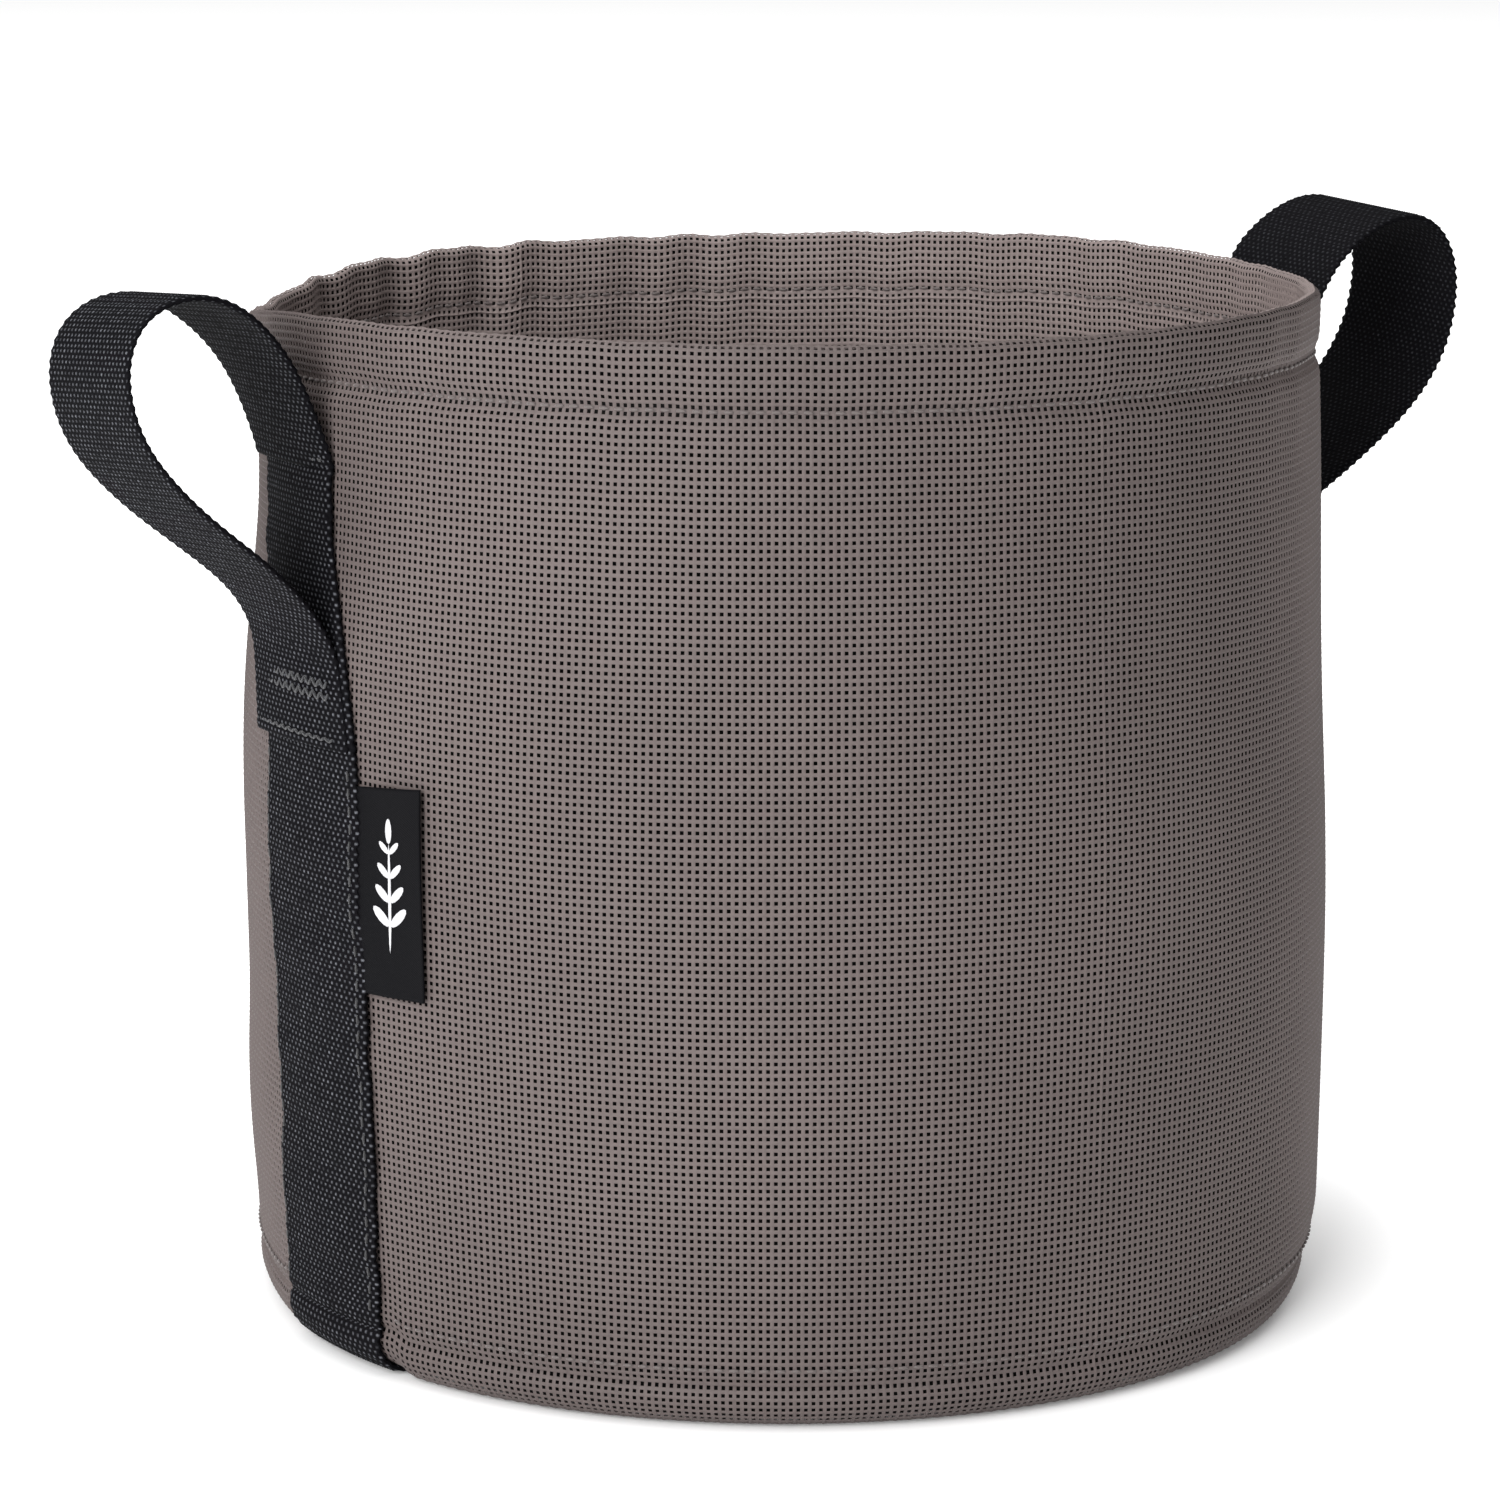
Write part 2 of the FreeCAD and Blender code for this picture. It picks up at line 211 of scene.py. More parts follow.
def falling_places(top, bottom, proud):
    """Side view of a cloth that runs down the inside of the wall."""
    heights = np.arange(top, bottom, -WALK)
    return np.stack([wall_reach(heights, INNER_PULL) - WALL_BUILD + proud, heights], 1)


RIM_FALL = falling_places(HEIGHT - RIM_ROLL, HEM_Z - 3 * MM, 0.0)
OUTER = Course(np.concatenate([rising_places(FLAT - 2 * MM, HEIGHT - RIM_ROLL), rolled_places(0, 75)]))
HEM = Course(np.concatenate([rolled_places(75, 180), RIM_FALL]))
INNER = Course(falling_places(HEM_Z + 1 * MM, 5 * MM, 0.35 * MM))
CORE = Course(rising_places(FLAT - 2 * MM, HEIGHT - 0.8 * MM, pulled=0.0))
STRAP = Course(rising_places(0.0, HEIGHT))


def round_bag(out, azimuth, up):
    """Places from a radius, an azimuth and a height."""
    return np.stack([out * np.cos(azimuth), out * np.sin(azimuth), up], 1)


def along_heading(ahead, across, heading, up):
    """Places from a distance ahead along a heading, a distance across it and a height."""
    x = ahead * np.cos(heading) - across * np.sin(heading)
    y = ahead * np.sin(heading) + across * np.cos(heading)
    return np.stack([x, y, up], 1)


def on_bag(course, azimuth, run, proud):
    """Places on the bag for an azimuth, a run along the course and a distance outwards."""
    out, up, away_out, away_up = course.at(run)
    out = out + away_out * proud
    up = up + away_up * proud
    out = out + unevenness(azimuth, up)
    up = up + settle(azimuth, up)
    return round_bag(out, azimuth, up)


def rumple(side, across, run, up):
    """Slack in the strap between its stitches: a sideways drift and a rise off the wall."""
    lapped = ease(up, 120 * MM, 134 * MM) * (1 - ease(up, 166 * MM, 180 * MM))
    slack = ease(up, 8 * MM, 30 * MM) * (1 - lapped)
    drift = 0.45 * np.sin(170 * run + side) + 0.2 * np.sin(410 * run)
    rise = 0.14 * (2 + np.sin(230 * run + 90 * across + side) + np.sin(560 * run - 60 * across))
    return slack * drift * MM, slack * rise * MM


def strap_on_bag(side, across, run, proud):
    """Places for a strap that keeps its width from the base's middle to the handle."""
    out, up, away_out, away_up = STRAP.at(run)
    drift, rise = rumple(side, across, run, up)
    across, proud = across + drift, proud + rise
    radius = np.maximum(out + away_out * proud, 0.1 * MM)
    up = up + away_up * proud
    bowed = np.sqrt(np.maximum(radius**2 - across**2, 0))
    ahead = radius + (bowed - radius) * ease(radius, STRAIGHT, FLAT)
    spread = np.arctan2(across, np.maximum(ahead, STRAIGHT))
    heading = side + strap_lean(up)
    ahead = ahead + unevenness(heading + spread, up) * ease(radius, STRAIGHT, FLAT)
    up = up + np.where(radius > FLAT - 10 * MM, settle(heading + spread, up), WEB_THICK + STRAP_GAP)
    return along_heading(ahead, across, heading, up)


# ---- mesh helpers ----------------------------------------------------------------------

def read_places(mesh):
    """Every vertex's place, as rows of x, y and z."""
    places = np.empty(len(mesh.vertices) * 3)
    mesh.vertices.foreach_get("co", places)
    return places.reshape(-1, 3)


def write_places(mesh, places):
    """Move every vertex to its new place."""
    mesh.vertices.foreach_set("co", places.astype(np.float32).ravel())
    mesh.update()


def weave_map(mesh, places, across_unit, along_unit):
    """Give the flat cloth's own coordinates, counted in yarns, to every corner."""
    layer = mesh.uv_layers.new(name="weave")
    corners = np.empty(len(mesh.loops), dtype=np.int32)
    mesh.loops.foreach_get("vertex_index", corners)
    counts = places[corners][:, :2] / np.array([across_unit, along_unit])
    layer.data.foreach_set("uv", counts.astype(np.float32).ravel())


def finish_mesh(bm, name, smooth=True):
    """Turn a bmesh into a mesh with smooth or flat shading."""
    for face in bm.faces:
        face.smooth = smooth
    mesh = bpy.data.meshes.new(name)
    bm.to_mesh(mesh)
    bm.free()
    return mesh


def place_piece(name, mesh, material, body="root"):
    """Add a mesh as a piece that rides on a body, or on none where body is empty."""
    piece = bpy.data.objects.new(name, mesh)
    bpy.context.scene.collection.objects.link(piece)
    mesh.materials.append(material)
    if body:
        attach(piece, body)
    return piece


def flat_grid(across, along, columns, rows):
    """A flat grid from the middle of its near edge, across on X and along on Y."""
    bm = bmesh.new()
    bmesh.ops.create_grid(bm, x_segments=columns, y_segments=rows, size=0.5)
    bmesh.ops.scale(bm, vec=(across, along, 1), verts=bm.verts)
    bmesh.ops.translate(bm, vec=(0, along / 2, 0), verts=bm.verts)
    return bm


def open_weave(bm, pitch):
    """Turn every cell of a grid into four yarns round a square hole."""
    cells = bm.faces[:]
    bmesh.ops.inset_individual(bm, faces=cells, thickness=YARN, depth=-YARN_DEEP, use_even_offset=True)
    bmesh.ops.delete(bm, geom=cells, context="FACES")
    for vertex in bm.verts:
        if vertex.co.z > -0.1 * MM:
            knot = round(vertex.co.x / pitch) + round(vertex.co.y / pitch)
            vertex.co.z += KNOT_RISE * (1 if knot % 2 else -1)


def woven_mesh(name, across, along):
    """Flat mesh cloth with a whole number of cells each way."""
    columns, rows = round(across / MESH_PITCH), round(along / MESH_PITCH)
    bm = flat_grid(across, along, columns, rows)
    open_weave(bm, across / columns)
    return finish_mesh(bm, name)


def thicken(bm, thick, lowest):
    """Give a flat sheet its thickness and rest it at a height."""
    bmesh.ops.solidify(bm, geom=bm.faces[:], thickness=-thick)
    low = min(vertex.co.z for vertex in bm.verts)
    bmesh.ops.translate(bm, vec=(0, 0, lowest - low), verts=bm.verts)
    bmesh.ops.recalc_face_normals(bm, faces=bm.faces)


def slab_mesh(name, across, along, thick, columns, rows):
    """A flat slab whose underside is at height 0."""
    bm = flat_grid(across, along, columns, rows)
    thicken(bm, thick, 0)
    return finish_mesh(bm, name)


# ---- materials -------------------------------------------------------------------------

class Recipe:
    """A material's nodes, added one after another."""

    def __init__(self, name):
        self.material = bpy.data.materials.new(name)
        self.material.use_nodes = True
        self.tree = self.material.node_tree
        self.shader = self.tree.nodes["Principled BSDF"]

    def node(self, kind, inputs=None, **settings):
        """Add a node, with its settings, and a value or a link for each named input."""
        made = self.tree.nodes.new(kind)
        for key, value in settings.items():
            setattr(made, key, value)
        for key, value in (inputs or {}).items():
            self.feed(value, made.inputs[key])
        return made

    def feed(self, value, socket):
        """Link a socket to an input, or set the input's constant value."""
        if isinstance(value, bpy.types.NodeSocket):
            self.tree.links.new(value, socket)
        else:
            socket.default_value = value

    def places(self):
        """The piece's own coordinates, in metres."""
        return self.node("ShaderNodeTexCoord").outputs["Object"]

    def yarns(self):
        """The flat cloth's coordinates, counted in yarns."""
        return self.node("ShaderNodeUVMap", uv_map="weave").outputs[0]

    def sums(self, operation, first, second=0.0):
        """One step of arithmetic."""
        return self.node("ShaderNodeMath", {0: first, 1: second}, operation=operation).outputs[0]

    def noise(self, where, scale, detail=3.0):
        """Soft random mottling, from 0 to 1."""
        found = self.node("ShaderNodeTexNoise", {"Vector": where, "Scale": scale, "Detail": detail})
        return found.outputs["Fac"]

    def blend(self, share, first, second):
        """A colour between two, by share."""
        mixed = self.node("ShaderNodeMix", {0: share, 6: first, 7: second}, data_type="RGBA")
        return mixed.outputs[2]

    def ramp(self, value, low, high, bottom=0.0, top=1.0):
        """Stretch a value's range from low to high onto bottom to top."""
        ranged = {"Value": value, "From Min": low, "From Max": high, "To Min": bottom, "To Max": top}
        return self.node("ShaderNodeMapRange", ranged).outputs[0]

    def finish(self, colour, roughness, bump=None, strength=0.3, distance=0.3 * MM, **sockets):
        """Join colour, roughness and a fine relief to the shader, and set its other sockets."""
        self.feed(colour, self.shader.inputs["Base Color"])
        self.feed(roughness, self.shader.inputs["Roughness"])
        if bump is not None:
            ridge = self.node(
                "ShaderNodeBump", {"Height": bump, "Strength": strength, "Distance": distance}
            )
            self.feed(ridge.outputs[0], self.shader.inputs["Normal"])
        for name, value in sockets.items():
            self.shader.inputs[name.replace("_", " ")].default_value = value
        return self.material


def tone(red, green, blue):
    """An opaque colour, in linear light."""
    return (red, green, blue, 1.0)


def mesh_material(name, light, shade):
    """Coated yarn: mottled colour and fine filaments along it."""
    recipe = Recipe(name)
    where = recipe.places()
    weave = recipe.yarns()
    broad = recipe.noise(where, 14.0)
    fine = recipe.noise(where, 900.0, 2.0)
    mottle = recipe.sums("ADD", recipe.sums("MULTIPLY", broad, 0.55), recipe.sums("MULTIPLY", fine, 0.45))
    streak = recipe.node("ShaderNodeMapping", {"Vector": weave, "Scale": (0.35, 9.0, 1.0)}).outputs[0]
    filament = recipe.noise(streak, 6.0, 2.0)
    colour = recipe.blend(recipe.ramp(mottle, 0.36, 0.64), shade, light)
    height = recipe.sums("ADD", filament, recipe.sums("MULTIPLY", fine, 0.6))
    rough = recipe.ramp(fine, -0.6, 1.6)
    return recipe.finish(colour, rough, height, 0.35, 0.15 * MM, Specular_IOR_Level=0.2)


def felt_material():
    """Nearly black needled felt with a fine, hairy surface."""
    recipe = Recipe("needled_felt")
    where = recipe.places()
    hair = recipe.noise(where, 700.0, 6.0)
    colour = recipe.blend(hair, tone(0.002, 0.002, 0.002), tone(0.009, 0.008, 0.008))
    return recipe.finish(colour, 0.95, hair, 0.6, 0.4 * MM, Specular_IOR_Level=0.05)


def webbing_material():
    """Ribbed webbing: staggered pale flecks on the yarn crossings, with painted shade that dims them
    towards +X, the side turned from the key light.
    """
    recipe = Recipe("webbing")
    where = recipe.places()
    weave = recipe.yarns()
    parts = recipe.node("ShaderNodeSeparateXYZ", {0: weave})
    across = recipe.sums("FRACT", parts.outputs[0])
    pair = recipe.sums("FRACT", recipe.sums("MULTIPLY", recipe.sums("FLOOR", parts.outputs[0]), 0.5))
    along = recipe.sums("FRACT", recipe.sums("ADD", parts.outputs[1], pair))

    def near_middle(value, half):
        off = recipe.sums("ABSOLUTE", recipe.sums("SUBTRACT", value, 0.5))
        return recipe.ramp(off, half, half * 0.35)

    fleck = recipe.sums("MULTIPLY", near_middle(across, 0.50), near_middle(along, 0.17))
    cell = recipe.noise(recipe.node("ShaderNodeVectorMath", {0: weave}, operation="FLOOR").outputs[0], 3.7)
    fine = recipe.noise(where, 1500.0, 2.0)
    share = recipe.sums("MULTIPLY", fleck, recipe.ramp(cell, 0.25, 0.7))
    share = recipe.sums("MULTIPLY", share, recipe.ramp(fine, 0.0, 0.8))
    # painted shade: the flecks dim from full at X = -0.10 m to a quarter at X = 0.13 m, away from the key
    # light
    side = recipe.node("ShaderNodeSeparateXYZ", {0: where}).outputs[0]
    painted_shade_right = recipe.ramp(side, -0.10, 0.13, 1.0, 0.25)
    share = recipe.sums("MULTIPLY", share, painted_shade_right)
    dark = recipe.blend(fine, tone(0.0018, 0.0017, 0.0022), tone(0.0062, 0.006, 0.0075))
    colour = recipe.blend(share, dark, tone(0.20, 0.207, 0.23))
    height = recipe.sums("ADD", fleck, recipe.sums("MULTIPLY", fine, 0.4))
    return recipe.finish(colour, 0.75, height, 0.5, 0.25 * MM, Specular_IOR_Level=0.03)


def label_material():
    """Close satin weave."""
    recipe = Recipe("label_satin")
    weave = recipe.yarns()
    parts = recipe.node("ShaderNodeSeparateXYZ", {0: weave})
    rows = recipe.sums("SINE", recipe.sums("MULTIPLY", parts.outputs[1], 2 * math.pi))
    picks = recipe.sums("SINE", recipe.sums("MULTIPLY", parts.outputs[0], 2 * math.pi))
    height = recipe.sums("MULTIPLY", rows, picks)
    low, high = tone(0.0025, 0.0025, 0.003), tone(0.0075, 0.0075, 0.0088)
    colour = recipe.blend(recipe.ramp(height, -1, 1), low, high)
    return recipe.finish(colour, 0.65, height, 0.4, 0.1 * MM, Specular_IOR_Level=0.04)


def thread_material(name, light, shade):
    """Twisted sewing thread."""
    recipe = Recipe(name)
    where = recipe.places()
    ply = recipe.noise(where, 2600.0, 2.0)
    return recipe.finish(recipe.blend(ply, shade, light), 0.5, ply, 0.5, 0.1 * MM, Sheen_Weight=0.2)


OUTER_CLOTH = mesh_material("outer_mesh", tone(0.128, 0.104, 0.100), tone(0.094, 0.076, 0.073))
# painted light: the inner cloth is the outer cloth's own yarn, painted about twice as light to make up for
# the shade inside the bag; the hem's roll over the rim and the inner base use it too
INNER_CLOTH_PAINTED_LIGHTER = mesh_material("inner_mesh", tone(0.270, 0.222, 0.212), tone(0.205, 0.166, 0.158))
FELT = felt_material()
WEBBING = webbing_material()
LABEL = label_material()
HEM_THREAD = thread_material("hem_thread", tone(0.118, 0.097, 0.093), tone(0.078, 0.064, 0.061))
STRAP_THREAD = thread_material("strap_thread", tone(0.014, 0.014, 0.016), tone(0.005, 0.005, 0.006))
TAB_THREAD = thread_material("tab_thread", tone(0.034, 0.035, 0.039), tone(0.009, 0.009, 0.011))
PALE_THREAD = thread_material("label_thread", tone(0.62, 0.62, 0.64), tone(0.45, 0.45, 0.47))


# ---- walls and base --------------------------------------------------------------------

QUARTERS = (("back", "right", 0), ("back", "left", 1), ("front", "left", 2), ("front", "right", 3))
QUARTER_ARC = math.pi / 2 * BELLY


def wrap(mesh, course, middle, proud=0.0):
    """Bend a flat cloth, centred across, round the bag about an azimuth."""
    flat = read_places(mesh)
    azimuth = middle + flat[:, 0] / BELLY
    write_places(mesh, on_bag(course, azimuth, flat[:, 1], flat[:, 2] + proud))


def quarter_cloths(course, material, layer, part):
    """Four panels of mesh cloth, one for each quarter of a wall layer."""
    flat = woven_mesh(part, QUARTER_ARC, course.length)
    weave_map(flat, read_places(flat), MESH_PITCH, MESH_PITCH)
    for half, side, number in QUARTERS:
        mesh = flat.copy()
        wrap(mesh, course, (number + 0.5) * math.pi / 2)
        piece = place_piece(f"{layer}_{half}_{side}_{part}", mesh, material)
        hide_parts(f"{layer}_{half}")


def felt_walls():
    """The felt inside the wall, one sheet to each half."""
    for half, middle in (("back", math.pi / 2), ("front", -math.pi / 2)):
        mesh = slab_mesh("felt", math.pi * BELLY, CORE.length, FELT_THICK, 112, 100)
        wrap(mesh, CORE, middle, -FELT_BEHIND)
        piece = place_piece(f"felt_wall_{half}_core", mesh, FELT)
        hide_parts(f"felt_wall_{half}")


def base_rise(x, y):
    """Height of the base cloth: it rides over the strap and rests on the ground beside it."""
    heading = strap_lean(np.zeros(1))[0]
    aside = np.abs(-x * math.sin(heading) + y * math.cos(heading))
    return (WEB_THICK + 0.2 * MM) * (1 - ease(aside, WEB_WIDE / 2 + 0.3 * MM, WEB_WIDE / 2 + 5 * MM))


def base_disc(name, node, lift, material, face_down):
    """A round of the mesh cloth, cut from a square of it."""
    across = 2 * FLAT
    count = round(across / MESH_PITCH)
    bm = flat_grid(across, across, count, count)
    bmesh.ops.translate(bm, vec=(0, -FLAT, 0), verts=bm.verts)
    outside = [f for f in bm.faces if f.calc_center_median().length > FLAT - MESH_PITCH]
    bmesh.ops.delete(bm, geom=outside, context="FACES")
    open_weave(bm, across / count)
    mesh = finish_mesh(bm, name)
    places = read_places(mesh)
    weave_map(mesh, places, MESH_PITCH, MESH_PITCH)
    facing = -1 if face_down else 1
    places[:, 2] = lift + base_rise(places[:, 0], places[:, 1]) + facing * places[:, 2]
    write_places(mesh, places)
    if face_down:
        mesh.flip_normals()
    piece = place_piece(name, mesh, material)
    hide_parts(node)


def felt_disc():
    """The felt inside the base."""
    bm = bmesh.new()
    bmesh.ops.create_circle(bm, cap_ends=True, radius=FLAT, segments=96)
    bmesh.ops.inset_region(bm, faces=bm.faces[:], thickness=FLAT / 3)
    thicken(bm, FELT_BASE_THICK, FELT_BASE_LOW)
    piece = place_piece("felt_base_core", finish_mesh(bm, "felt_base", smooth=False), FELT)
    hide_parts("felt_base")


# ---- webbing ---------------------------------------------------------------------------

def webbing_slab(name, along):
    """Flat webbing: ribs across it, a fleck-sized rise on each, and edges that step with the ribs."""
    ribs = max(round(along / RIB_PITCH), 1)
    mesh = slab_mesh(name, WEB_WIDE, along, WEB_THICK, 2 * WEB_FLECKS, 2 * ribs)
    flat = read_places(mesh)
    weave_map(mesh, flat, WEB_WIDE / WEB_FLECKS, along / ribs)
    rib = 0.5 - 0.5 * np.cos(2 * np.pi * flat[:, 1] / along * ribs)
    yarn = 0.5 - 0.5 * np.cos(2 * np.pi * flat[:, 0] / WEB_WIDE * WEB_FLECKS)
    face = np.where(flat[:, 2] > WEB_THICK / 2, 1, -1)
    flat[:, 2] += face * (0.16 * rib + 0.12 * rib * yarn - 0.16) * MM
    thinned = 1 - 0.55 * ease(np.abs(flat[:, 0]), WEB_WIDE / 2 - 1.4 * MM, WEB_WIDE / 2)
    flat[:, 2] = WEB_THICK / 2 + (flat[:, 2] - WEB_THICK / 2) * thinned
    edge = np.abs(flat[:, 0]) > WEB_WIDE / 2 - 0.1 * MM
    flat[:, 0] += np.where(edge, np.sign(flat[:, 0]) * (0.9 * rib - 0.65) * MM, 0)
    write_places(mesh, flat)
    return mesh, flat


def run_at_height(height):
    """How far along the strap's course a height on the wall is."""
    runs = np.linspace(FLAT, STRAP.length, 2000)
    return float(np.interp(height, STRAP.at(runs)[1], runs))


def carry_strap():
    """One webbing from the left root, under the base, to the right root."""
    reach = run_at_height(ROOT_Z)
    mesh, flat = webbing_slab("carry_strap", 2 * reach)
    run = np.abs(flat[:, 1] - reach)
    on_left = flat[:, 1] < reach
    proud = flat[:, 2] + STRAP_GAP
    left = strap_on_bag(LEFT, -flat[:, 0], run, proud)
    right = strap_on_bag(RIGHT, flat[:, 0], run, proud)
    write_places(mesh, np.where(on_left[:, None], left, right))
    piece = place_piece("carry_strap_webbing", mesh, WEBBING)
    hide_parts("carry_strap")


def smooth_course(knots):
    """A smooth course that follows listed points of a side view, given in millimetres."""
    curve = bpy.data.curves.new("course", "CURVE")
    curve.dimensions = "3D"
    curve.resolution_u = 24
    spline = curve.splines.new("NURBS")
    spline.points.add(len(knots) - 1)
    for point, (out, up) in zip(spline.points, knots):
        point.co = (out * MM, 0, up * MM, 1)
    spline.order_u = 4
    spline.use_endpoint_u = True
    carrier = bpy.data.objects.new("course", curve)
    line = bpy.data.meshes.new_from_object(carrier)
    places = read_places(line)[:, (0, 2)]
    bpy.data.objects.remove(carrier)
    bpy.data.curves.remove(curve)
    bpy.data.meshes.remove(line)
    return Course(places)


def strap_out(side, height, layers=0.5):
    """Radius of the strap's middle at a height, in millimetres, counted in layers of webbing."""
    run = np.array([run_at_height(height * MM)])
    place = strap_on_bag(side, np.zeros(1), run, np.array([layers * WEB_THICK + STRAP_GAP]))[0]
    return math.hypot(place[0], place[1]) / MM


# A loop's side view, in millimetres: heights of its root on the wall, height and layers of
# webbing out from the wall down its sewn end, and radius and height along its free part.
LOOP_ROOT_HEIGHTS = (192, 198)
LOOP_LAP = ((162, 2.0), (155, 1.65), (148, 1.6), (TAB_LOW / MM, 1.6))
LOOP_SWERVE = 0.048            # how far a free loop turns off its strap's heading, in radians
LOOP_SHAPES = {
    LEFT: [
        (125.5, 205), (129, 214.5), (134.5, 224), (142, 232), (151.3, 238), (162, 238.2), (170.3, 233.7),
        (174, 225.3), (173.3, 215.5), (169.7, 206.5), (163.3, 198.5), (155, 190.5), (146.3, 183.5),
        (138, 176.5), (131.8, 169.5),
    ],
    RIGHT: [
        (128, 206), (133, 214), (137.7, 222), (144.5, 232), (154.3, 239.7), (166, 243.8), (176.6, 241.3),
        (182.2, 231.7), (182, 218.7), (177.6, 206.5), (167.5, 195), (155, 184.5), (143.3, 175.5),
        (133.2, 168),
    ],
}


def loop_knots(side):
    """Side view of a carry loop, from its root on the wall, over the top, to its sewn end."""
    root = [(strap_out(side, up), up) for up in LOOP_ROOT_HEIGHTS]
    sewn = [(strap_out(side, up, layers), up) for up, layers in LOOP_LAP]
    return root + LOOP_SHAPES[side] + sewn


def carry_loop(name, side, twist, skew):
    """A teardrop of webbing; its two ends stay sewn to the wall while its top swings."""
    course = smooth_course(loop_knots(side))
    rising = slice(60)    # the first places, which only go up
    start = np.interp(ROOT_Z - 0.3 * MM, course.places[rising, 1], course.runs[rising])
    along = course.length - start
    mesh, flat = webbing_slab(name, along)
    run = flat[:, 1] + start
    out, up, away_out, away_up = course.at(run)
    share = flat[:, 1] / along
    proud = flat[:, 2] - WEB_THICK / 2
    out = out + away_out * proud
    up = up + away_up * proud
    across = flat[:, 0]
    bow = (out - np.sqrt(out**2 - across**2)) * (1 - ease(out, 131 * MM, 146 * MM))
    free = np.sin(np.pi * np.clip((share - 0.06) / 0.8, 0, 1))
    up = up + free * twist * across
    ahead = out - bow
    swerve = LOOP_SWERVE * ease(out, 127 * MM, 147 * MM) + skew * ease(share, 0.72, 0.9)
    heading = side + strap_lean(up) + swerve
    write_places(mesh, along_heading(ahead, across, heading, up))
    piece = place_piece(f"{name}_webbing", mesh, WEBBING, body=None)
    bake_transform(piece)
    return piece


# ---- sewing ----------------------------------------------------------------------------

THREAD_SHARE = 0.72            # how much of a stitch's pitch its thread covers
WALL_START = 20 * MM           # past here the outer cloth's course has left the ground
SEAM_GAP = 0.19                # half the angle that a strap hides of the base seam, in radians
STRAP_STITCH = 3.8 * MM
STRAP_ROW = WEB_WIDE / 2 - 2.2 * MM
TAB_HOLES = 23                 # needle holes in a row across the webbing
TAB_REACH = 17.5 * MM          # half the length of such a row

# Height and half the rise of each zigzag row, in millimetres, and the layers that it holds.
TAB_ROWS = ((142.4, 0.5, 2.1), (151.6, 1.0, 2.1), (154.2, 1.0, 2.1), (202, 1.1, 1.0))


def sew(name, knots, material, width, node):
    """Stitches, each one a small bead of thread from one needle hole to the next."""
    bm = bmesh.new()
    for start, end, away in knots:
        way = end - start
        length = way.length
        along = way.normalized()
        aside = away.cross(along).normalized()
        upright = along.cross(aside)
        turn = Matrix((along, aside, upright)).transposed().to_4x4()
        size = Matrix.Diagonal((length / 2, width / 2, width / 2, 1))
        spot = Matrix.Translation((start + end) / 2 + away * width * 0.12)
        bmesh.ops.create_uvsphere(bm, u_segments=6, v_segments=5, radius=1.0, matrix=spot @ turn @ size)
    piece = place_piece(name, finish_mesh(bm, name), material)
    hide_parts(node)


def stitch_line(places, aways, pitch):
    """Cut a line of places into stitches of one pitch."""
    steps = np.linalg.norm(np.diff(places, axis=0), axis=1)
    runs = np.concatenate([[0], np.cumsum(steps)])
    count = max(int(runs[-1] / pitch), 1)
    knots = []
    for number in range(count):
        first = (number + (1 - THREAD_SHARE) / 2) * runs[-1] / count
        last = (number + (1 + THREAD_SHARE) / 2) * runs[-1] / count
        start, end = (Vector([np.interp(r, runs, places[:, i]) for i in range(3)]) for r in (first, last))
        away = Vector([np.interp((first + last) / 2, runs, aways[:, i]) for i in range(3)]).normalized()
        knots.append((start, end, away))
    return knots


def ring_stitches(course, run, proud, first=0.0, last=2 * math.pi, inward=False):
    """Stitches round the bag, two cells of the cloth to each."""
    azimuth = np.linspace(first, last, 1500)
    places = on_bag(course, azimuth, np.full_like(azimuth, run), np.full_like(azimuth, proud))
    facing = -1 if inward else 1
    aways = np.stack([np.cos(azimuth), np.sin(azimuth), np.zeros_like(azimuth)], 1) * facing
    return stitch_line(places, aways, 2 * MESH_PITCH)


def height_run(course, height, first=0.0):
    """Run of the place on a course that lies nearest to a height, past a first stretch."""
    runs = np.linspace(first, course.length, 4000)
    return float(runs[np.argmin(np.abs(course.at(runs)[1] - height))])


def hem_sewing():
    """The hem's stitches on both faces, and the base seam's, which the straps cross."""
    outside = ring_stitches(OUTER, height_run(OUTER, HEM_Z, WALL_START), 0.15 * MM)
    inside = ring_stitches(HEM, height_run(HEM, HEM_Z), 0.15 * MM, inward=True)
    sew("hem_stitches_outside", outside, HEM_THREAD, 0.75 * MM, "hem_thread_outer")
    sew("hem_stitches_inside", inside, HEM_THREAD, 0.75 * MM, "hem_thread_inner")
    seam = height_run(OUTER, SEAM_Z, WALL_START)
    lean = strap_lean(np.array([SEAM_Z]))[0]
    knots = ring_stitches(OUTER, seam, 0.1 * MM, lean + SEAM_GAP, lean + math.pi - SEAM_GAP)
    knots += ring_stitches(OUTER, seam, 0.1 * MM, lean + math.pi + SEAM_GAP, lean + 2 * math.pi - SEAM_GAP)
    sew("base_seam_stitches", knots, HEM_THREAD, 0.7 * MM, "base_seam_thread")


def strap_sewing(name, side, node):
    """Two rows down each strap, just inside its edges."""
    knots = []
    for across in (-STRAP_ROW, STRAP_ROW):
        run = np.linspace(run_at_height(14 * MM), run_at_height(TAB_LOW - 3 * MM), 400)
        proud = np.full_like(run, WEB_THICK + 0.2 * MM)
        places = strap_on_bag(side, np.full_like(run, across), run, proud)
        aways = places * np.array([1, 1, 0])
        knots += stitch_line(places, aways, STRAP_STITCH)
    sew(name, knots, STRAP_THREAD, 0.6 * MM, node)


